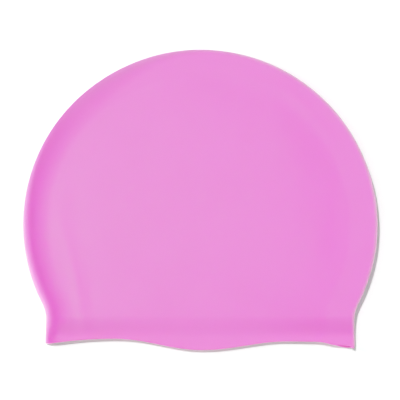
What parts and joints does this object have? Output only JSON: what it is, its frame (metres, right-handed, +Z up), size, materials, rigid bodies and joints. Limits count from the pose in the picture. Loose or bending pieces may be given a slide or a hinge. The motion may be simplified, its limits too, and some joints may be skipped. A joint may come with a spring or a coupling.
{
  "type": "swim cap",
  "caption": "Moulded silicone swim cap lying flat on its side, a round hollow dome over a narrower skirt with a wavy open hem.",
  "frame": {"origin": "on the table, under the middle of the cap's length and width as it lies", "axes": "+Z up from the table, +Y from the hem to the crown, +X to the right as the upper sheet is seen from above with the crown away from the viewer"},
  "size_m": [0.2218, 0.1878, 0.0155],
  "materials": {
    "silicone": "satin"
  },
  "bodies": {
    "root": {"cap_shell": "silicone"}
  },
  "joints": []
}
